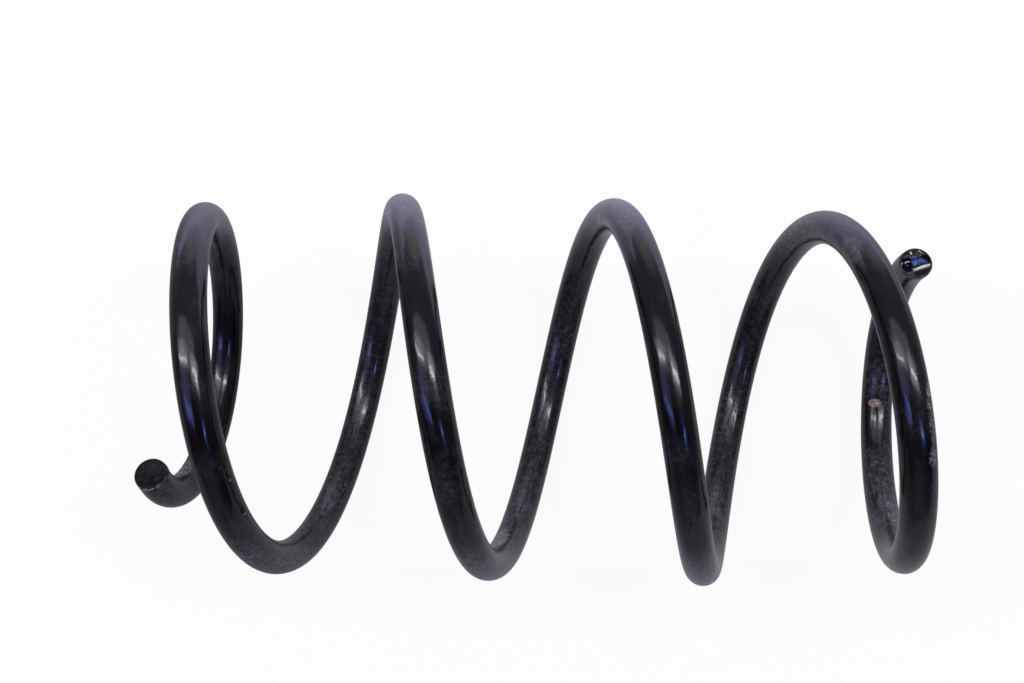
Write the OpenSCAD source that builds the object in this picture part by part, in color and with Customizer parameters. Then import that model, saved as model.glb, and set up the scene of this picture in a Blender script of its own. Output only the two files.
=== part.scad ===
// Helical compression spring with two tapered pigtail ends.
// It lies on its side: the coil's axis is X, and +Z is up.
// The origin is on the coil's axis, midway between the two cut ends of the wire.
// Angles count along the wire from the left cut end, and the coil winds right-handed.

/* [Wire] */
// Diameter of the round wire
wire_d = 13; // [9:0.5:16]

/* [Coil] */
// Mean diameter of the body turns, between wire centres
coil_d = 138; // [115:1:170]
// Advance of the body turns along the axis, for each turn
pitch = 82.5; // [65:0.5:100]
// Turns from one cut end to the other
turns = 4.55; // [3.6:0.05:5.5]
// Where the left cut end lies about the axis: 0 is straight down and 90 is towards +Y
start_angle = -106; // [-180:1:180]

/* [Left end] */
// Mean diameter at the left cut end
left_end_d = 83; // [69:1:100]
// Angle of wire over which the left end widens to the body
left_taper_angle = 345; // [285:5:415]
// How the left taper bends: 1 is straight, more hooks the tip inwards
left_taper_power = 1.75; // [1:0.05:3]
// Advance for each turn at the left cut end
left_end_pitch = 25; // [15:1:40]
// Angle of wire that keeps the left end's advance
left_hold_angle = 145; // [120:5:175]
// Angle of wire over which the advance grows to the body's pitch
left_ramp_angle = 190; // [155:5:230]

/* [Right end] */
// Mean diameter at the right cut end
right_end_d = 106; // [88:1:115]
// Angle of wire over which the right end narrows
right_taper_angle = 810; // [675:5:975]
// How the right taper bends: 1 is straight, more keeps the narrowing near the tip
right_taper_power = 3; // [1:0.1:4]
// Advance for each turn at the right cut end, 0 for a closed end
right_end_pitch = 0; // [0:1:20]
// Angle of wire that keeps the right end's advance
right_hold_angle = 30; // [0:5:60]
// Angle of wire over which the advance falls from the body's pitch
right_ramp_angle = 300; // [240:5:360]

/* [Facets] */
// Flats round the wire
wire_sides = 20; // [12:1:20]
// Angle of coil between two rings of the wire
ring_step = 6.5; // [6.5:0.5:12]

/* [Hidden] */
wire_r = wire_d / 2;
coil_r = coil_d / 2;
total_angle = 360 * turns;
ring_count = ceil(total_angle / ring_step);
enamel_black = [0.07, 0.07, 0.085];
// Half the stretch of wire angle over which a direction is measured
tangent_span = 0.5;

function clamped(t) = min(max(t, 0), 1);
function unit(v) = v / norm(v);

// Mean radius of the coil, less what each end's taper takes away
function left_inset(angle) =
    (coil_d - left_end_d) / 2 * pow(max(1 - angle / left_taper_angle, 0), left_taper_power);
function right_inset(angle) =
    (coil_d - right_end_d) / 2
    * pow(max(1 - (total_angle - angle) / right_taper_angle, 0), right_taper_power);
function radius_at(angle) = coil_r - left_inset(angle) - right_inset(angle);

// Angle's worth of wire, from an end, that follows that end's advance and not the body's:
// all of it up to hold, then an S-shaped blend over ramp
function end_share(angle, hold, ramp) =
    let (t = clamped((angle - hold) / ramp))
    min(angle, hold) + ramp * (t - pow(t, 3) + pow(t, 4) / 2);
function left_share(angle) = end_share(angle, left_hold_angle, left_ramp_angle);
function right_share(angle) =
    end_share(total_angle, right_hold_angle, right_ramp_angle)
    - end_share(total_angle - angle, right_hold_angle, right_ramp_angle);

// Distance along the axis from the left cut end
function advance_at(angle) =
    (pitch * angle
        - (pitch - left_end_pitch) * left_share(angle)
        - (pitch - right_end_pitch) * right_share(angle)) / 360;

// Centre of the wire, the direction it runs in, and the ring round it
function radial_at(angle) = [0, sin(start_angle + angle), -cos(start_angle + angle)];
function centre_at(angle) =
    [advance_at(angle) - advance_at(total_angle) / 2, 0, 0] + radius_at(angle) * radial_at(angle);
function direction_at(angle) =
    unit(centre_at(angle + tangent_span) - centre_at(angle - tangent_span));
function ring_at(angle) =
    let (
        centre = centre_at(angle),
        direction = direction_at(angle),
        radial = radial_at(angle),
        outward = unit(radial - (radial * direction) * direction),
        sideways = cross(direction, outward)
    )
    [for (i = [0:wire_sides - 1])
        centre + wire_r * (cos(360 * i / wire_sides) * outward + sin(360 * i / wire_sides) * sideways)];

function ring_angle(i) = total_angle * i / ring_count;
function next_side(side) = (side + 1) % wire_sides;
function corner(ring, side) = ring * wire_sides + side;

// The wire as one closed sweep, cut square at both ends
module coil_spring() {
    points = [for (i = [0:ring_count]) each ring_at(ring_angle(i))];
    left_cut = [for (side = [0:wire_sides - 1]) corner(0, side)];
    right_cut = [for (side = [wire_sides - 1:-1:0]) corner(ring_count, side)];
    lower_halves = [for (ring = [0:ring_count - 1]) for (side = [0:wire_sides - 1])
        [corner(ring, side), corner(ring + 1, side), corner(ring + 1, next_side(side))]];
    upper_halves = [for (ring = [0:ring_count - 1]) for (side = [0:wire_sides - 1])
        [corner(ring, side), corner(ring + 1, next_side(side)), corner(ring, next_side(side))]];
    color(enamel_black)
        polyhedron(points, concat([left_cut, right_cut], lower_halves, upper_halves));
}

coil_spring();
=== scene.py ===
"""A helical compression spring in black enamel, lying on its side on a pale floor.

Everything is in metres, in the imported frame: the coil's axis is X and the floor lies below it.
Angles along the wire are degrees of coil, counted from the left cut end.
Left is towards -X, near towards -Y and far towards +Y.
"""
import math
from collections import namedtuple

import bpy
from mathutils import Matrix, Vector


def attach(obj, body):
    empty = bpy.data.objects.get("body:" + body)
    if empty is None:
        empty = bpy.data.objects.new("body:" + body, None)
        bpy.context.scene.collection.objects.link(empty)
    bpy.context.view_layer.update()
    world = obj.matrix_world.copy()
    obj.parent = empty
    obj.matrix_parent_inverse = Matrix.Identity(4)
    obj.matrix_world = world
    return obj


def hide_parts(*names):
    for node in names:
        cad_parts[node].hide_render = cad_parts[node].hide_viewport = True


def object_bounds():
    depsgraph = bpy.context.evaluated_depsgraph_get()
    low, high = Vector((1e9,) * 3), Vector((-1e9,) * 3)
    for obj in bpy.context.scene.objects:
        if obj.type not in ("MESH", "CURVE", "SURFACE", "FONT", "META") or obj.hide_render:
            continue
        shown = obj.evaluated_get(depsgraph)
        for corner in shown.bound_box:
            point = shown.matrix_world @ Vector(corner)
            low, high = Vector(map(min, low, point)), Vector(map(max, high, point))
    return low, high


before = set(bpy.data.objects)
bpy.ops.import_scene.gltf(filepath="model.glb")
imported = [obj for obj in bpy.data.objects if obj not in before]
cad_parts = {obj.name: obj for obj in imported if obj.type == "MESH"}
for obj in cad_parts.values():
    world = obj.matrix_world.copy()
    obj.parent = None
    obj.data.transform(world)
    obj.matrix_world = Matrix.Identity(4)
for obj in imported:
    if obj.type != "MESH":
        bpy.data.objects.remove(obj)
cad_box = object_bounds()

# A ring of points round the wire, a cut end, and something raised or sunk on a cut end's face
Ring = namedtuple("Ring", "centre turn along")
Cut = namedtuple("Cut", "centre out middle face_radius")
Lump = namedtuple("Lump", "places height reach")
# A place in the enamel, and a kind of random patches
Mark = namedtuple("Mark", "angle side length width")
Patches = namedtuple("Patches", "scale detail low high least most", defaults=(0, 1))

# The coil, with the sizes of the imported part
WIRE_RADIUS = 0.0065
COIL_RADIUS = 0.069
PITCH = 0.0825
TOTAL_ANGLE = 1638
START_ANGLE = -106  # where the left cut end lies about the axis: 0 is straight down
LEFT_END_RADIUS = 0.0415
LEFT_TAPER_ANGLE = 345
LEFT_TAPER_POWER = 1.75
LEFT_END_PITCH = 0.025
LEFT_HOLD_ANGLE = 145
LEFT_RAMP_ANGLE = 190
RIGHT_END_RADIUS = 0.053
RIGHT_TAPER_ANGLE = 810
RIGHT_TAPER_POWER = 3
RIGHT_END_PITCH = 0
RIGHT_HOLD_ANGLE = 30
RIGHT_RAMP_ANGLE = 300

# How finely the wire is modelled, before it is subdivided
RING_STEP = 8
RING_SIDES = 16
TANGENT_SPAN = 0.5  # half the stretch of wire angle over which a direction is measured
SUBDIVISIONS = 2
SMOOTH_ANGLE = 40

# The two cut ends: how far each rim is rounded, and how finely the face inside it is modelled
RIM = 0.0004
CUT_STEP = 0.0011
CUT_STEPS = 4
CUT_REACH = WIRE_RADIUS * 1.2  # all of a cut end lies nearer to its centre than this
CUT_DEPTH = RIM * 1.5  # deep enough to take the rim along with the face
FACE_LEVEL = WIRE_RADIUS * 0.6  # a shaped cut face stays within this of its flat one
FACE_LEAN = 0.6  # and each part of it faces out, by a cosine of more than this

# How far each cut is off square: degrees that its far side, and its left side, stand proud
LEFT_CUT_TIP = (11, 2)
RIGHT_CUT_TIP = (-10, -3)
# Both ends were cut a little long, and sprang aside
LEFT_OVERRUN = 0.002
LEFT_SHIFT = Vector((0.0003, 0, 0))
LEFT_SHIFT_REACH = 0.014
RIGHT_OVERRUN = 0.0008
RIGHT_SHIFT = Vector((0.0006, 0.0006, 0))
RIGHT_SHIFT_REACH = 0.03

# The left face. A place on a cut face is metres to the right and up from its middle.
SAW_DISH = Lump([(0, 0)], -0.0004, 0.0055)
SAW_DIP = Lump([(0.003, -0.0021)], -0.0002, 0.002)
SPREAD_EDGE = Vector((0.006, 0.002, 0))
SPREAD_WIDTH = Vector((0.0005, 0, 0))
SPREAD_REACH = 0.0045
# A fold is its crease's turn from +X, its distance from the face's middle, and degrees upwards
BLUNT_EDGE_FOLDS = ((180, 0.0048, -8), (212, 0.0052, -7))

# The right face: how far it is tipped again inside its rim, and how it curls up across itself
RIGHT_FACE_RADIUS = 0.0057
RIGHT_FACE_TIP = (-6.2, 0)
CURL_TURN = 17  # its creases run this far round from +X
# Each stretch of the curl: its first and last crease, its degrees in all, and its number of folds
CURL = (
    (-0.0036, -0.003, 9, 5),
    (-0.0029, -0.0027, 6, 2),
    (-0.0026, -0.0014, 1.8, 4),
    (-0.0013, -0.0009, 14, 3),
    (-0.0006, 0.0018, 4, 8),
)
TURNED_DOWN_FOLDS = (
    (107, 0.0003, -4),
    (107, 0.0018, -5),
    (107, 0.0022, -6),
    (-30, 0.0029, -7),
    (40, 0.0034, -7),
)
BLOB = Lump([(-0.0043, -0.0009)], 0.0003, 0.0021)
PIP = Lump([(-0.0016, 0.0044)], 0.00026, 0.0012)
RIDGE = Lump([(0.0013, 0.0051), (0.0024, 0.0047), (0.0034, 0.004)], 0.0004, 0.0012)

# Marks in the enamel: degrees along the wire, degrees round it from the coil's outside, and half sizes
MARK_CORE = 0.55  # a mark fades from its edge to this share of its size
CHIP = Mark(1551.5, 159, 0.0024, 0.0036)
CHIP_DENTS = ((-16, 0.00012), (-4, 0.0002), (9, 0.00016), (20, 0.0001))  # degrees round it, and depth
CHIP_DENT_REACH = 0.0011
WIPED = (Mark(1312, 75, 0.0011, 0.003), Mark(1542, 159, 0.018, 0.006))
# Scuffs and dusty places, each with how thickly it is covered
SCUFFS = (
    (Mark(1380, 318, 0.012, 0.0018), 0.25),
    (Mark(1391.5, 324, 0.0045, 0.0022), 0.5),
    (Mark(1384.5, 300, 0.003, 0.0016), 0.25),
    (Mark(1372.5, 312, 0.0035, 0.0016), 0.3),
    (Mark(1492, 204, 0.014, 0.004), 0.25),
    (Mark(1283, 114, 0.03, 0.008), 0.2),
    (Mark(1309, 18, 0.012, 0.003), 0.1),
    (Mark(1322, 60, 0.009, 0.006), 0.15),
    (Mark(18, 318, 0.02, 0.008), 0.22),
    (Mark(48, 160, 0.015, 0.007), 0.5),
    (Mark(206, 280, 0.026, 0.006), 0.9),
    (Mark(590, 20, 0.02, 0.006), 0.2),
    (Mark(950, 20, 0.02, 0.006), 0.2),
    (Mark(752, 160, 0.02, 0.005), 0.7),
    (Mark(1112, 160, 0.02, 0.005), 0.4),
    (Mark(337, 285, 0.0006, 0.0007), 3),
    (Mark(324, 294, 0.0005, 0.0006), 3),
)

# Strokes on the cut faces: place, degrees from +X, and half sizes
STROKE_CORE = 0.5  # a stroke fades from its edge to this share of its size
# Painted highlights along the left face's near edge, where its rim catches the light
LEFT_EDGE_HIGHLIGHTS = (
    (-0.0036, -0.0046, -25, 0.0014, 0.0003),
    (-0.0016, -0.0053, 0, 0.0016, 0.0003),
    (0.001, -0.005, 22, 0.0016, 0.00025),
    (0.0032, -0.0036, 45, 0.0014, 0.0002),
)
# Painted highlights on the right face: on its pip, round the top and left of its blob, and along its upper
# right rim
RIGHT_FACE_HIGHLIGHTS = (
    (-0.0016, 0.0045, 100, 0.0009, 0.0005),
    (-0.0036, 0.0004, 5, 0.0011, 0.0003),
    (-0.0044, 0.0001, 55, 0.0006, 0.0003),
    (-0.0057, -0.0003, 80, 0.0008, 0.0003),
    (0.0023, 0.0051, -20, 0.0014, 0.00025),
    (0.0039, 0.0042, -40, 0.0011, 0.00025),
)

# Where dust lies, from where it starts to where it is full, and how thickly
DUSTY_INSIDE = (0.0015, -0.004)  # out from the wire's middle, away from the coil's axis
DUSTY_WIRE = (0.24, 0.34)  # along the wire: the first turn is cleaner inside
DUSTY_NEAR_HALF = (0, -0.05)  # in Y, where the inside is dustier still
# To both sides in Y the film is dust and also a painted sheen that lightens the coil's far and near edges
DUST_AND_SHEEN_SIDES = (0.061, 0.075)  # in Y, to both sides
CLOUD_DUST = 0.05
INSIDE_DUST = 0.042
NEAR_INSIDE_DUST = 0.06
SIDE_DUST_AND_SHEEN = 0.42
HEAVY_DUST = 0.45  # the film that makes the enamel its dullest

# Random patches: the noise's scale and detail, its values for least and most, and what those are
CLOUDS = Patches(45, 3, 0.45, 0.7)
MOTTLE = Patches(420, 4, 0.36, 0.66, 0.4, 1.35)
GRAIN = Patches(1700, 2, 0.36, 0.64, 0.3, 1.6)
SPECKLES = Patches(1100, 3, 0.4, 0.66, 0.35, 1.4)
CHIP_EDGE = Patches(1100, 3, 0.3, 0.44)
CHIP_STEEL = Patches(1500, 2, 0.4, 0.65)
SAWN_MOTTLE = Patches(500, 3, 0.35, 0.7)
SMEARS = Patches(900, 3, 0.5, 0.75)

# Fine relief: the noise's scale, how its directions are stretched, and its depth or share
ENAMEL_DEPTH = 0.0003
LONG_WAVES = 260
LONG_WAVE_SHAPE = (1, 1, 0.3)
SHORT_WAVES = 700
SHORT_WAVE_SHAPE = (1, 1, 0.4)
SHORT_WAVE_SHARE = 0.12
PEEL = 1700
PEEL_SHARE = 0.03
SAW_MARKS = 1600
SAW_MARK_SHAPE = (1, 0.15, 1)
SAW_MARK_DEPTH = 0.0001
POOL_WAVES = 300
POOL_DEPTH = 0.00003

# Finishes
ENAMEL_IOR = 1.5
ENAMEL_SPECULAR = 0.2
ENAMEL_COAT = 0.6
ENAMEL_COAT_ROUGHNESS = 0.1
ENAMEL_ROUGHNESS = (0.25, 0.5)  # clean, and under heavy dust
CHIP_ROUGHNESS = 0.55
SAWN_ROUGHNESS = (0.3, 0.45)
POOLED_ROUGHNESS = (0.1, 0.22)
ENAMEL_BLACK = (0.001, 0.001, 0.0014, 1)
# Colour of the dust, and of the painted sheen on the coil's long sides
DUST_AND_SHEEN_GREY = (0.4, 0.38, 0.38, 1)
DARK_STEEL = (0.14, 0.115, 0.08, 1)
PALE_STEEL = (0.5, 0.44, 0.33, 1)
SAWN_DARK = (0.003, 0.002, 0.003, 1)
SAWN_PALE = (0.011, 0.008, 0.01, 1)
# Colour of the painted highlight along the left face's near edge
EDGE_HIGHLIGHT_GREY = (0.2, 0.2, 0.19, 1)
SMEAR_GREY = (0.01, 0.01, 0.012, 1)
# Colour of the painted highlights on the right face
HIGHLIGHT_PALE = (0.75, 0.76, 0.8, 1)

# Camera, nearly straight down
CAMERA_PLACE = (0.0038, -0.0696, 0.4953)
CAMERA_TURN = (10.134, 1.427, 1.741)
CAMERA_LENS = 44.386
CAMERA_CLIP_START = 0.01
SENSOR_WIDTH = 36

# Floor: what it shows, and its tones in the enamel, near the spring and far towards +Y
FLOOR_SIZE = 30
FLOOR_COLOUR = (0.08, 0.0805, 0.074, 1)
FLOOR_LIFT = 0.92  # with what the floor reflects, this makes it white
FLOOR_NEAR_LEFT = (0.215, 0.2, 0.23, 1)
FLOOR_NEAR_RIGHT = (0.345, 0.33, 0.375, 1)
FLOOR_FAR = (1.02, 0.98, 1.4, 1)
FLOOR_LEFT_TO_RIGHT = (-0.13, 0.04)  # in X
FLOOR_NEAR_TO_FAR = (0.02, 0.33)  # in Y
# Past these places in X, the far tone starts further towards +Y, by this much for each metre
FLOOR_RIGHT_BEND = 0.03
FLOOR_RIGHT_LEAN = 0.5
FLOOR_LEFT_BEND = -0.12
FLOOR_LEFT_LEAN = 0.7
WHITE = (1, 1, 1, 1)

# Lamps: degrees to the right and towards +Y, degrees wide and high, colour, and strength
LAMP_DISTANCE = 3
LAMP_LEAN = 8  # they are set out round a line that leans back by this many degrees
WATTS_PER_SQUARE_METRE = 4  # at a strength of 1
LAMPS = (
    ("left_window", -37, 11, 38, 2.4, (1, 0.98, 1), 12.5),
    ("left_glow", -33, 13.5, 56, 14, (1, 0.95, 1.1), 1.3),
    ("right_window", 23.5, 12, 24, 4.4, (1, 0.99, 1), 12),
    ("right_glow", 22, 13, 38, 18, (1, 0.95, 1.1), 1.7),
    ("room_wall", -12, 25, 72, 24, (1, 0.94, 1.05), 0.75),
    ("left_haze", -44, -11, 42, 26, (0.42, 0.38, 1), 0.65),
    ("left_sky", -41, -16.5, 27, 8, (0.18, 0.26, 1), 3.6),
    ("right_sky", 30, -19, 8, 5, (0.27, 0.4, 1), 8.5),
    ("right_dusk", 30, -19, 17, 12, (0.1, 0.17, 1), 1.8),
)

# The room: its tones at shares of the way from -Y to +Y, and their tint
ROOM_TONES = ((0, 0.3), (0.12, 0.1), (0.25, 0.02), (0.42, 0.11), (0.7, 0.25), (0.93, 0.32), (1, 0.9))
ROOM_TINT = (1, 0.95, 1.24)


def end_share(angle, hold, ramp):
    """Degrees of wire, from an end, that follow that end's advance and not the body's."""
    t = min(max((angle - hold) / ramp, 0), 1)
    return min(angle, hold) + ramp * (t - t**3 + t**4 / 2)


def advance(angle):
    """Distance along the axis from the left cut end."""
    left = end_share(angle, LEFT_HOLD_ANGLE, LEFT_RAMP_ANGLE)
    right = end_share(TOTAL_ANGLE, RIGHT_HOLD_ANGLE, RIGHT_RAMP_ANGLE)
    right -= end_share(TOTAL_ANGLE - angle, RIGHT_HOLD_ANGLE, RIGHT_RAMP_ANGLE)
    body = PITCH * angle - (PITCH - LEFT_END_PITCH) * left - (PITCH - RIGHT_END_PITCH) * right
    return body / 360


def coil_radius(angle):
    """Radius of the coil, less what each end's taper takes away."""
    left = max(1 - angle / LEFT_TAPER_ANGLE, 0) ** LEFT_TAPER_POWER
    right = max(1 - (TOTAL_ANGLE - angle) / RIGHT_TAPER_ANGLE, 0) ** RIGHT_TAPER_POWER
    return (
        COIL_RADIUS
        - (COIL_RADIUS - LEFT_END_RADIUS) * left
        - (COIL_RADIUS - RIGHT_END_RADIUS) * right
    )


def radial(angle):
    """Direction from the axis to the wire."""
    turned = math.radians(START_ANGLE + angle)
    return Vector((0, math.sin(turned), -math.cos(turned)))


def wire_centre(angle, growth=1):
    """Centre of the wire. Growth widens the coil, for a cage that subdivision draws in."""
    along_axis = advance(angle) - advance(TOTAL_ANGLE) / 2
    return Vector((along_axis, 0, 0)) + coil_radius(angle) * growth * radial(angle)


def wire_turn(angle):
    """Axes of the wire there: outward from the coil, sideways, and along the wire."""
    span = wire_centre(angle + TANGENT_SPAN) - wire_centre(angle - TANGENT_SPAN)
    along = span.normalized()
    outward = (radial(angle) - radial(angle).dot(along) * along).normalized()
    return Matrix((outward, along.cross(outward), along)).transposed()


def drawn_in(step):
    """Share of its radius that a ring of points this many degrees apart keeps when subdivided."""
    return (2 + math.cos(math.radians(step))) / 3


def distance_along(angle):
    """Metres of wire from the left cut end."""
    count = max(math.ceil(angle / RING_STEP), 1)
    stops = [wire_centre(angle * i / count) for i in range(count + 1)]
    return sum((after - before).length for before, after in zip(stops, stops[1:]))


def wire_rings():
    """Each ring of the cage, with one more close to each cut end to hold its rim."""
    count = math.ceil(TOTAL_ANGLE / RING_STEP)
    angles = [TOTAL_ANGLE * i / count for i in range(count + 1)]
    angles.insert(1, math.degrees(RIM / LEFT_END_RADIUS))
    angles.insert(-1, TOTAL_ANGLE - math.degrees(RIM / RIGHT_END_RADIUS))
    growth = 1 / drawn_in(RING_STEP)
    return [Ring(wire_centre(angle, growth), wire_turn(angle), distance_along(angle)) for angle in angles]


def clear_selection():
    """Leaves edit mode, with nothing selected."""
    if bpy.context.object and bpy.context.object.mode == "EDIT":
        bpy.ops.object.mode_set(mode="OBJECT")
    bpy.ops.object.select_all(action="DESELECT")


def start_selection(piece, kind):
    """Readies a piece for points or faces to be selected on it, with none selected yet."""
    clear_selection()
    piece.select_set(True)
    bpy.context.view_layer.objects.active = piece
    bpy.ops.object.mode_set(mode="EDIT")
    bpy.ops.mesh.select_mode(type=kind)
    bpy.ops.mesh.select_all(action="DESELECT")
    bpy.ops.object.mode_set(mode="OBJECT")


def sweep_wire(rings):
    """Extrudes a round section along the coil, ring by ring, turning it square to the wire."""
    clear_selection()
    first = rings[0]
    bpy.ops.mesh.primitive_circle_add(
        vertices=RING_SIDES,
        radius=WIRE_RADIUS / drawn_in(360 / RING_SIDES),
        fill_type="NGON",
        location=first.centre,
        rotation=first.turn.to_euler(),
    )
    spring = bpy.context.object
    spring.name = "spring"
    bpy.ops.object.transform_apply(location=True, rotation=True, scale=True)
    bpy.ops.object.mode_set(mode="EDIT")
    bpy.ops.mesh.select_all(action="SELECT")
    for before, after in zip(rings, rings[1:]):
        turned = (after.turn @ before.turn.inverted()).to_quaternion()
        axis, angle = turned.to_axis_angle()
        bpy.ops.mesh.spin(steps=1, angle=-angle, center=before.centre, axis=axis)
        bpy.ops.transform.translate(value=after.centre - before.centre)
    bpy.ops.object.mode_set(mode="OBJECT")
    return spring


def mark_straight_wire(spring, rings):
    """Stores where each point would lie if the wire were pulled straight along Z."""
    straight = spring.data.attributes.new("straight_wire", "FLOAT_VECTOR", "POINT")
    for point in spring.data.vertices:
        ring = rings[point.index // RING_SIDES]
        offset = ring.turn.inverted() @ (point.co - ring.centre)
        straight.data[point.index].vector = (offset.x, offset.y, ring.along)


def inset_face(spring, cut):
    """Insets the flat face at a cut end, first for its rim and then in even steps."""
    start_selection(spring, "FACE")
    flat_faces = [face for face in spring.data.polygons if len(face.vertices) == RING_SIDES]
    nearest = min(flat_faces, key=lambda face: (face.center - cut.centre).length)
    nearest.select = True
    bpy.ops.object.mode_set(mode="EDIT")
    bpy.ops.mesh.inset(thickness=RIM)
    for _ in range(CUT_STEPS):
        bpy.ops.mesh.inset(thickness=CUT_STEP)
    bpy.ops.object.mode_set(mode="OBJECT")


def select_cut(spring, cut, depth):
    """Selects a cut end's face, and its rim down to this depth."""
    start_selection(spring, "VERT")
    for point in spring.data.vertices:
        offset = point.co - cut.centre
        point.select = offset.dot(cut.out) > -depth and offset.length < CUT_REACH


def select_face(spring, cut):
    """Selects a cut end's face, out to its face radius."""
    select_cut(spring, cut, RIM)
    for point in spring.data.vertices:
        offset = point.co - cut.middle
        from_middle = (offset - offset.dot(cut.out) * cut.out).length
        point.select = point.select and from_middle < cut.face_radius


def turn_selection(tip, centre):
    """Turns what is selected in edit mode about X and then Y, by degrees."""
    for axis, degrees in zip("XY", tip):
        bpy.ops.transform.rotate(value=-math.radians(degrees), orient_axis=axis, center_override=centre)


def tip_cut(spring, cut, tip, overrun, shift, reach):
    """Tips a cut end's face and rim off square, moves them out along the wire, and bends the end aside."""
    select_cut(spring, cut, CUT_DEPTH)
    bpy.ops.object.mode_set(mode="EDIT")
    turn_selection(tip, cut.centre)
    bpy.ops.transform.translate(value=cut.out * overrun)
    bpy.ops.transform.translate(
        value=shift,
        use_proportional_edit=True,
        use_proportional_connected=True,
        proportional_edit_falloff="SMOOTH",
        proportional_size=reach,
    )
    bpy.ops.object.mode_set(mode="OBJECT")


def smooth_wire(spring):
    """Rounds the cage into wire and turns its faces outwards."""
    subdivide = spring.modifiers.new("round_wire", "SUBSURF")
    subdivide.levels = SUBDIVISIONS
    subdivide.render_levels = SUBDIVISIONS
    bpy.ops.object.modifier_apply(modifier=subdivide.name)
    bpy.ops.object.mode_set(mode="EDIT")
    bpy.ops.mesh.select_all(action="SELECT")
    bpy.ops.mesh.normals_make_consistent(inside=False)
    bpy.ops.object.mode_set(mode="OBJECT")
    bpy.ops.object.shade_smooth_by_angle(angle=math.radians(SMOOTH_ANGLE))


def push(spring, places, move, reach):
    """Moves the surface at some places, less and less out to a reach from them."""
    start_selection(spring, "VERT")
    points = spring.data.vertices
    for place in places:
        nearest = min(points, key=lambda point: (point.co - place).length_squared)
        nearest.select = True
    bpy.ops.object.mode_set(mode="EDIT")
    bpy.ops.transform.translate(
        value=move,
        use_proportional_edit=True,
        proportional_edit_falloff="SMOOTH",
        proportional_size=reach,
    )
    bpy.ops.object.mode_set(mode="OBJECT")


def raise_lump(spring, cut, lump):
    """Raises a lump on a cut face, or sinks it if its height is below 0."""
    places = [cut.middle + Vector((x, y, 0)) for x, y in lump.places]
    push(spring, places, cut.out * lump.height, lump.reach)


def tip_face(spring, cut, tip):
    """Tips a cut face about its middle, inside a rim that stays as it is."""
    select_face(spring, cut)
    bpy.ops.object.mode_set(mode="EDIT")
    turn_selection(tip, cut.middle)
    bpy.ops.object.mode_set(mode="OBJECT")


def fold_face(spring, cut, turn, start, degrees):
    """Folds up the part of a cut face past a crease that runs at this turn, this far from its middle."""
    crease = Vector((math.cos(math.radians(turn)), math.sin(math.radians(turn)), 0))
    across = Vector((-crease.y, crease.x, 0))
    select_face(spring, cut)
    for point in spring.data.vertices:
        point.select = point.select and (point.co - cut.middle).dot(across) > start
    bpy.ops.object.mode_set(mode="EDIT")
    turn_selection((degrees * crease.x, degrees * crease.y), cut.middle + across * start)
    bpy.ops.object.mode_set(mode="OBJECT")


def shape_left_cut(spring, cut):
    """Dishes the sawn face where the saw wandered, spreads its right edge and blunts its near one."""
    raise_lump(spring, cut, SAW_DISH)
    raise_lump(spring, cut, SAW_DIP)
    push(spring, [cut.middle + cut.out * LEFT_OVERRUN + SPREAD_EDGE], SPREAD_WIDTH, SPREAD_REACH)
    for turn, start, degrees in BLUNT_EDGE_FOLDS:
        fold_face(spring, cut, turn, start, degrees)


def shape_right_cut(spring, cut):
    """Curls the sheared face up, turns its sides down, and raises a blob, a pip and a ridge on it."""
    tip_face(spring, cut, RIGHT_FACE_TIP)
    for first, last, degrees, folds in CURL:
        for i in range(folds):
            start = first + (last - first) * i / (folds - 1)
            fold_face(spring, cut, CURL_TURN, start, degrees / folds)
    for turn, start, degrees in TURNED_DOWN_FOLDS:
        fold_face(spring, cut, turn, start, degrees)
    for lump in (BLOB, PIP, RIDGE):
        raise_lump(spring, cut, lump)


def dent_chip(spring):
    """Sinks the chip in the enamel, deeper in its middle."""
    centre = wire_centre(CHIP.angle)
    for round_wire, depth in CHIP_DENTS:
        side = math.radians(CHIP.side + round_wire)
        section = Vector((math.cos(side), math.sin(side), 0)) * WIRE_RADIUS
        place = centre + wire_turn(CHIP.angle) @ section
        inwards = (centre - place).normalized()
        push(spring, [place], inwards * depth, CHIP_DENT_REACH)


def put(tree, socket, source):
    """Feeds a socket from another node's output, or sets it to a plain value."""
    if isinstance(source, bpy.types.NodeSocket):
        tree.links.new(source, socket)
    else:
        socket.default_value = source


def noise(tree, place, scale, detail=1):
    """Soft random patches, of about 1 / scale metres, as values round a half."""
    made = tree.nodes.new("ShaderNodeTexNoise")
    put(tree, made.inputs["Vector"], place)
    made.inputs["Scale"].default_value = scale
    made.inputs["Detail"].default_value = detail
    return made.outputs["Fac"]


def spread(tree, value, low, high, to_low=0, to_high=1):
    """Stretches a value from between low and high to between to_low and to_high, and clips it."""
    made = tree.nodes.new("ShaderNodeMapRange")
    made.interpolation_type = "SMOOTHSTEP"
    put(tree, made.inputs["Value"], value)
    for name, limit in (("From Min", low), ("From Max", high), ("To Min", to_low), ("To Max", to_high)):
        made.inputs[name].default_value = limit
    return made.outputs["Result"]


def patches(tree, place, kind):
    """Noise with the scale, the contrast and the least and most that a kind of patch has."""
    made = noise(tree, place, kind.scale, kind.detail)
    return spread(tree, made, kind.low, kind.high, kind.least, kind.most)


def combine(tree, operation, first, second=0):
    """A sum, product or other arithmetic of two values."""
    made = tree.nodes.new("ShaderNodeMath")
    made.operation = operation
    put(tree, made.inputs[0], first)
    put(tree, made.inputs[1], second)
    return made.outputs["Value"]


def blend_colours(tree, share, first, second):
    """The first colour where the share is 0, and the second where it is 1."""
    made = tree.nodes.new("ShaderNodeMix")
    made.data_type = "RGBA"
    put(tree, made.inputs["Factor"], share)
    put(tree, made.inputs["A"], first)
    put(tree, made.inputs["B"], second)
    return made.outputs["Result"]


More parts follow.
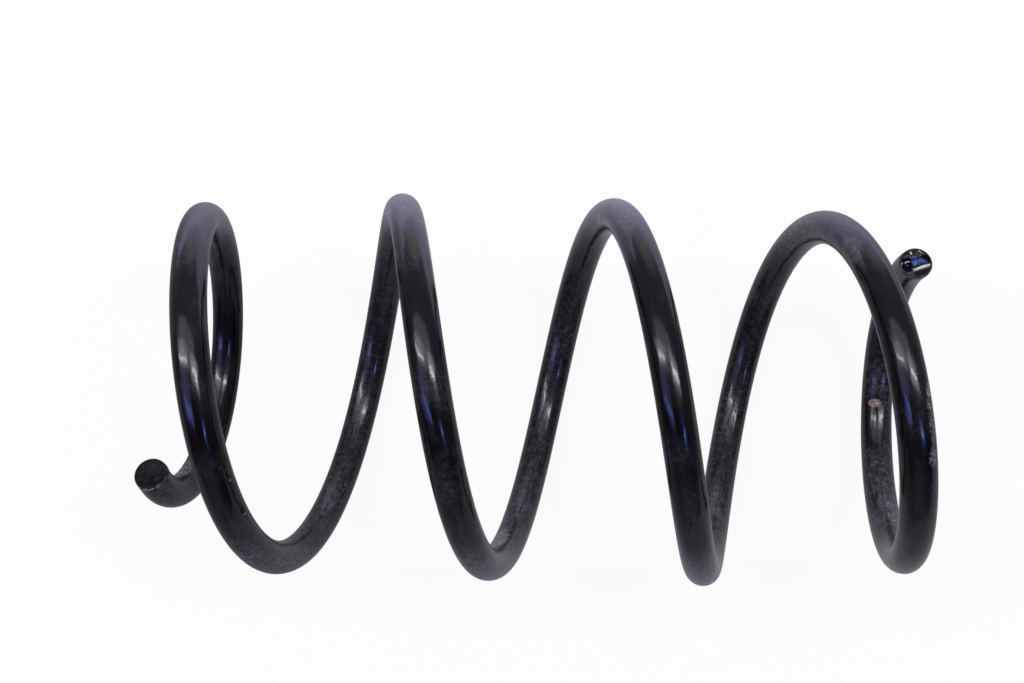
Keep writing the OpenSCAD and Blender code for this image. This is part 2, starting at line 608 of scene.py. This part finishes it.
def stretched(tree, place, scale, origin=(0, 0, 0)):
    """A place measured from an origin, with each direction scaled by its own amount."""
    made = tree.nodes.new("ShaderNodeMapping")
    put(tree, made.inputs["Vector"], place)
    made.inputs["Scale"].default_value = scale
    made.inputs["Location"].default_value = [-share * start for share, start in zip(scale, origin)]
    return made.outputs["Vector"]


def length_of(tree, vector):
    """How long a vector is."""
    made = tree.nodes.new("ShaderNodeVectorMath")
    made.operation = "LENGTH"
    put(tree, made.inputs[0], vector)
    return made.outputs["Value"]


def parts_of(tree, vector):
    """The X, Y and Z of a vector."""
    made = tree.nodes.new("ShaderNodeSeparateXYZ")
    put(tree, made.inputs[0], vector)
    return made.outputs


def object_place(tree):
    """Where a point lies on the object."""
    return tree.nodes.new("ShaderNodeTexCoord").outputs["Object"]


def at_mark(tree, wire_place, mark):
    """1 on a mark in the enamel, and 0 beyond its edge."""
    side = math.radians(mark.side)
    middle = (WIRE_RADIUS * math.cos(side), WIRE_RADIUS * math.sin(side), distance_along(mark.angle))
    scale = (1 / mark.width, 1 / mark.width, 1 / mark.length)
    return spread(tree, length_of(tree, stretched(tree, wire_place, scale, middle)), 1, MARK_CORE)


def stroke(tree, place, middle, turn, length, width):
    """1 along a short stroke on a cut face, and 0 beyond its edge. Turn is in degrees from +X."""
    made = tree.nodes.new("ShaderNodeMapping")
    made.vector_type = "TEXTURE"
    put(tree, made.inputs["Vector"], place)
    made.inputs["Location"].default_value = middle
    made.inputs["Rotation"].default_value = (0, 0, math.radians(turn))
    made.inputs["Scale"].default_value = (length, width, 1)
    return spread(tree, length_of(tree, made.outputs["Vector"]), 1, STROKE_CORE)


def strokes(tree, place, middle, marks):
    """Several strokes together: each one's X and Y from the face's middle, turn, length and width."""
    share = 0
    for x, y, turn, length, width in marks:
        here = stroke(tree, place, middle + Vector((x, y, 0)), turn, length, width)
        share = combine(tree, "MAXIMUM", share, here)
    return share


def relief(tree, shader, height, distance):
    """Gives a shader fine relief, this many metres deep where the height is 1."""
    made = tree.nodes.new("ShaderNodeBump")
    made.inputs["Strength"].default_value = 1
    made.inputs["Distance"].default_value = distance
    put(tree, made.inputs["Height"], height)
    put(tree, shader.inputs["Normal"], made.outputs["Normal"])
    put(tree, shader.inputs["Coat Normal"], made.outputs["Normal"])


def new_material(name):
    """A material, its nodes and its shader."""
    material = bpy.data.materials.new(name)
    material.use_nodes = True
    return material, material.node_tree, material.node_tree.nodes["Principled BSDF"]


def scuffed(tree, place, wire_place):
    """How thickly the scuffs and dusty places are covered, broken up into speckles."""
    cover = 0
    for mark, thickness in SCUFFS:
        here = combine(tree, "MULTIPLY", at_mark(tree, wire_place, mark), thickness)
        cover = combine(tree, "ADD", cover, here)
    return combine(tree, "MULTIPLY", cover, patches(tree, place, SPECKLES))


def dust_and_sheen_film(tree, place, wire_place):
    """How thickly dust lies: in clouds, inside the coil past its first turn, on its long sides, where it is
    also a painted sheen, and in scuffs.
    """
    wire = parts_of(tree, wire_place)
    inside = spread(tree, wire["X"], *DUSTY_INSIDE)
    inside = combine(tree, "MULTIPLY", inside, spread(tree, wire["Z"], *DUSTY_WIRE))
    across = parts_of(tree, place)["Y"]
    # Both long sides in Y: dust there, and a painted sheen
    sides = spread(tree, combine(tree, "ABSOLUTE", across), *DUST_AND_SHEEN_SIDES)
    near_inside = combine(tree, "MULTIPLY", inside, spread(tree, across, *DUSTY_NEAR_HALF))
    cover = combine(tree, "MULTIPLY", patches(tree, place, CLOUDS), CLOUD_DUST)
    for share, thickness in ((inside, INSIDE_DUST), (near_inside, NEAR_INSIDE_DUST), (sides, SIDE_DUST_AND_SHEEN)):
        cover = combine(tree, "ADD", cover, combine(tree, "MULTIPLY", share, thickness))
    film = combine(tree, "ADD", cover, scuffed(tree, place, wire_place))
    for kind in (MOTTLE, GRAIN):
        film = combine(tree, "MULTIPLY", film, patches(tree, place, kind))
    for mark in WIPED:
        kept = combine(tree, "SUBTRACT", 1, at_mark(tree, wire_place, mark))
        film = combine(tree, "MULTIPLY", film, kept)
    return film


def enamel_waves(tree, place, wire_place):
    """Height of the enamel: drawn marks along the wire, short waves and a fine peel."""
    long_waves = noise(tree, stretched(tree, wire_place, LONG_WAVE_SHAPE), LONG_WAVES)
    short_waves = noise(tree, stretched(tree, wire_place, SHORT_WAVE_SHAPE), SHORT_WAVES)
    peel = noise(tree, place, PEEL)
    height = combine(tree, "ADD", long_waves, combine(tree, "MULTIPLY", short_waves, SHORT_WAVE_SHARE))
    return combine(tree, "ADD", height, combine(tree, "MULTIPLY", peel, PEEL_SHARE))


def black_enamel():
    """Glossy black stove enamel over drawn steel wire, dulled by dust and scuffs, lightened on both long
    sides by dust and a painted sheen, with one bare chip.
    """
    material, tree, shader = new_material("black_enamel")
    place = object_place(tree)
    wire = tree.nodes.new("ShaderNodeAttribute")
    wire.attribute_name = "straight_wire"
    wire_place = wire.outputs["Vector"]

    film = dust_and_sheen_film(tree, place, wire_place)
    # Dust, with a painted sheen on both long sides
    dusty = blend_colours(tree, film, ENAMEL_BLACK, DUST_AND_SHEEN_GREY)
    chip = combine(tree, "MULTIPLY", at_mark(tree, wire_place, CHIP), patches(tree, place, CHIP_EDGE))
    bare = blend_colours(tree, patches(tree, place, CHIP_STEEL), DARK_STEEL, PALE_STEEL)
    put(tree, shader.inputs["Base Color"], blend_colours(tree, chip, dusty, bare))
    dusty_roughness = spread(tree, film, 0, HEAVY_DUST, *ENAMEL_ROUGHNESS)
    bare_roughness = combine(tree, "MULTIPLY", chip, CHIP_ROUGHNESS)
    put(tree, shader.inputs["Roughness"], combine(tree, "MAXIMUM", dusty_roughness, bare_roughness))
    shader.inputs["IOR"].default_value = ENAMEL_IOR
    shader.inputs["Specular IOR Level"].default_value = ENAMEL_SPECULAR
    shader.inputs["Coat Weight"].default_value = ENAMEL_COAT
    shader.inputs["Coat Roughness"].default_value = ENAMEL_COAT_ROUGHNESS
    relief(tree, shader, enamel_waves(tree, place, wire_place), ENAMEL_DEPTH)
    return material


def sawn_enamel():
    """Thin dull enamel over the sawn left end, with a painted highlight along its near edge."""
    material, tree, shader = new_material("sawn_enamel")
    place = object_place(tree)
    mottled = patches(tree, place, SAWN_MOTTLE)
    saw_marks = noise(tree, stretched(tree, place, SAW_MARK_SHAPE), SAW_MARKS, 2)
    # A painted highlight along the near edge of the face
    painted_edge_highlight = strokes(tree, place, wire_centre(0) + LEFT_SHIFT, LEFT_EDGE_HIGHLIGHTS)
    colour = blend_colours(tree, mottled, SAWN_DARK, SAWN_PALE)
    put(tree, shader.inputs["Base Color"], blend_colours(tree, painted_edge_highlight, colour, EDGE_HIGHLIGHT_GREY))
    put(tree, shader.inputs["Roughness"], spread(tree, mottled, 0, 1, *SAWN_ROUGHNESS))
    shader.inputs["IOR"].default_value = ENAMEL_IOR
    shader.inputs["Specular IOR Level"].default_value = ENAMEL_SPECULAR
    relief(tree, shader, saw_marks, SAW_MARK_DEPTH)
    return material


def pooled_enamel():
    """Thick wet-looking enamel that pooled on the sheared right end, with painted highlights on its pip,
    round its blob and along its upper right rim.
    """
    material, tree, shader = new_material("pooled_enamel")
    place = object_place(tree)
    smears = patches(tree, place, SMEARS)
    # Painted highlights on the pip, round the blob and along the rim
    painted_highlights = strokes(tree, place, wire_centre(TOTAL_ANGLE) + RIGHT_SHIFT, RIGHT_FACE_HIGHLIGHTS)
    colour = blend_colours(tree, smears, ENAMEL_BLACK, SMEAR_GREY)
    put(tree, shader.inputs["Base Color"], blend_colours(tree, painted_highlights, colour, HIGHLIGHT_PALE))
    put(tree, shader.inputs["Roughness"], spread(tree, smears, 0, 1, *POOLED_ROUGHNESS))
    shader.inputs["IOR"].default_value = ENAMEL_IOR
    relief(tree, shader, noise(tree, place, POOL_WAVES), POOL_DEPTH)
    return material


def finish_face(spring, cut, slot):
    """Gives a cut end's face, inside its rim, its own finish."""
    start_selection(spring, "FACE")
    for face in spring.data.polygons:
        offset = face.center - cut.centre
        level = abs(offset.dot(cut.out)) < FACE_LEVEL
        facing = abs(face.normal.dot(cut.out)) > FACE_LEAN
        face.select = level and facing and offset.length < WIRE_RADIUS
    bpy.ops.object.mode_set(mode="EDIT")
    spring.active_material_index = slot
    bpy.ops.object.material_slot_assign()
    bpy.ops.object.mode_set(mode="OBJECT")


def model_spring():
    """Sweeps the wire, shapes its two cut ends and its chip, and gives each its finish."""
    rings = wire_rings()
    first, last = rings[0], rings[-1]
    left = Cut(first.centre, -first.turn.col[2], first.centre + LEFT_SHIFT, CUT_REACH)
    right = Cut(last.centre, last.turn.col[2], last.centre + RIGHT_SHIFT, RIGHT_FACE_RADIUS)
    spring = sweep_wire(rings)
    mark_straight_wire(spring, rings)
    inset_face(spring, left)
    inset_face(spring, right)
    tip_cut(spring, left, LEFT_CUT_TIP, LEFT_OVERRUN, LEFT_SHIFT, LEFT_SHIFT_REACH)
    tip_cut(spring, right, RIGHT_CUT_TIP, RIGHT_OVERRUN, RIGHT_SHIFT, RIGHT_SHIFT_REACH)
    smooth_wire(spring)
    shape_left_cut(spring, left)
    shape_right_cut(spring, right)
    dent_chip(spring)
    for finish in (black_enamel, sawn_enamel, pooled_enamel):
        spring.data.materials.append(finish())
    finish_face(spring, left, 1)
    finish_face(spring, right, 2)
    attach(spring, "root")
    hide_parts("coil_spring")


def place_camera():
    """Looks down on the spring."""
    data = bpy.data.cameras.new("camera")
    data.lens = CAMERA_LENS
    data.sensor_width = SENSOR_WIDTH
    data.clip_start = CAMERA_CLIP_START
    camera = bpy.data.objects.new("camera", data)
    camera.location = CAMERA_PLACE
    camera.rotation_euler = [math.radians(turn) for turn in CAMERA_TURN]
    bpy.context.scene.collection.objects.link(camera)
    bpy.context.scene.camera = camera


def light_path(tree, *kinds):
    """1 for rays of any of these kinds, and otherwise 0."""
    path = tree.nodes.new("ShaderNodeLightPath")
    share = path.outputs[kinds[0]]
    for kind in kinds[1:]:
        share = combine(tree, "MAXIMUM", share, path.outputs[kind])
    return share


def mixed_shaders(tree, share, first, second):
    """The first shader where the share is 0, and the second where it is 1."""
    made = tree.nodes.new("ShaderNodeMixShader")
    put(tree, made.inputs[0], share)
    put(tree, made.inputs[1], first)
    put(tree, made.inputs[2], second)
    return made.outputs[0]


def floor_tone(tree):
    """What the enamel reflects of the floor: dim near the spring, and bright far towards +Y."""
    place = parts_of(tree, object_place(tree))
    right_side = combine(tree, "MAXIMUM", combine(tree, "SUBTRACT", place["X"], FLOOR_RIGHT_BEND))
    left_side = combine(tree, "MAXIMUM", combine(tree, "SUBTRACT", FLOOR_LEFT_BEND, place["X"]))
    distance = place["Y"]
    for side, lean in ((right_side, FLOOR_RIGHT_LEAN), (left_side, FLOOR_LEFT_LEAN)):
        distance = combine(tree, "SUBTRACT", distance, combine(tree, "MULTIPLY", side, lean))
    from_left = spread(tree, place["X"], *FLOOR_LEFT_TO_RIGHT)
    near = blend_colours(tree, from_left, FLOOR_NEAR_LEFT, FLOOR_NEAR_RIGHT)
    return blend_colours(tree, spread(tree, distance, *FLOOR_NEAR_TO_FAR), near, FLOOR_FAR)


def floor_finish():
    """Pale floor that shows white and keeps a soft shadow, with its own tones in reflections."""
    material, tree, shader = new_material("pale_floor")
    tree.nodes.remove(shader)
    diffuse = tree.nodes.new("ShaderNodeBsdfDiffuse")
    diffuse.inputs["Color"].default_value = FLOOR_COLOUR
    lift = tree.nodes.new("ShaderNodeEmission")
    lift.inputs["Color"].default_value = WHITE
    seen = light_path(tree, "Is Camera Ray")
    put(tree, lift.inputs["Strength"], combine(tree, "MULTIPLY", seen, FLOOR_LIFT))
    shown = tree.nodes.new("ShaderNodeAddShader")
    put(tree, shown.inputs[0], diffuse.outputs[0])
    put(tree, shown.inputs[1], lift.outputs[0])
    sheen = tree.nodes.new("ShaderNodeEmission")
    put(tree, sheen.inputs["Color"], floor_tone(tree))
    reflected = light_path(tree, "Is Glossy Ray", "Is Transmission Ray")
    output = tree.nodes["Material Output"]
    put(tree, output.inputs["Surface"], mixed_shaders(tree, reflected, shown.outputs[0], sheen.outputs[0]))
    return material


def lay_floor():
    """Lays the floor level with the lowest point of the part."""
    clear_selection()
    bpy.ops.mesh.primitive_plane_add(size=FLOOR_SIZE, location=(0, 0, cad_box[0].z))
    floor = bpy.context.object
    floor.name = "floor"
    bpy.ops.object.transform_apply(location=True, rotation=True, scale=True)
    floor.data.materials.append(floor_finish())


def lamp_direction(sideways, upwards):
    """Direction from the spring: degrees to the right, then degrees towards +Y."""
    side, up = math.radians(sideways), math.radians(upwards)
    straight = Vector((math.sin(side) * math.cos(up), math.sin(up), math.cos(side) * math.cos(up)))
    return Matrix.Rotation(math.radians(LAMP_LEAN), 3, "X") @ straight


def hang_lamp(name, sideways, upwards, width, height, colour, strength):
    """A flat soft lamp that covers width by height degrees, seen from the spring."""
    data = bpy.data.lights.new(name, "AREA")
    data.shape = "RECTANGLE"
    data.size = 2 * LAMP_DISTANCE * math.tan(math.radians(width / 2))
    data.size_y = 2 * LAMP_DISTANCE * math.tan(math.radians(height / 2))
    data.color = colour
    data.energy = strength * WATTS_PER_SQUARE_METRE * data.size * data.size_y
    lamp = bpy.data.objects.new(name, data)
    direction = lamp_direction(sideways, upwards)
    across = Vector((1, 0, 0))
    across = (across - across.dot(direction) * direction).normalized()
    turn = Matrix((across, direction.cross(across), direction)).transposed()
    lamp.matrix_world = Matrix.Translation(direction * LAMP_DISTANCE) @ turn.to_4x4()
    lamp.visible_camera = False
    bpy.context.scene.collection.objects.link(lamp)


def light_world():
    """A dim room, whose tone changes from -Y to +Y, and plain white behind the spring."""
    world = bpy.data.worlds.new("studio")
    world.use_nodes = True
    bpy.context.scene.world = world
    tree = world.node_tree
    room = tree.nodes["Background"]
    direction = parts_of(tree, tree.nodes.new("ShaderNodeTexCoord").outputs["Generated"])
    ramp = tree.nodes.new("ShaderNodeValToRGB")
    towards_far = spread(tree, direction["Y"], -1, 1)
    towards_far.node.interpolation_type = "LINEAR"
    put(tree, ramp.inputs["Fac"], towards_far)
    for position, tone in ROOM_TONES:
        stop = ramp.color_ramp.elements.new(position)
        stop.color = [tone * share for share in ROOM_TINT] + [1]
    put(tree, room.inputs["Color"], ramp.outputs["Color"])
    backdrop = tree.nodes.new("ShaderNodeBackground")
    backdrop.inputs["Color"].default_value = WHITE
    seen = light_path(tree, "Is Camera Ray")
    output = tree.nodes["World Output"]
    put(tree, output.inputs["Surface"], mixed_shaders(tree, seen, room.outputs[0], backdrop.outputs[0]))


place_camera()
lay_floor()
for lamp in LAMPS:
    hang_lamp(*lamp)
light_world()
model_spring()

scene = bpy.context.scene
scene.view_settings.view_transform = "Standard"
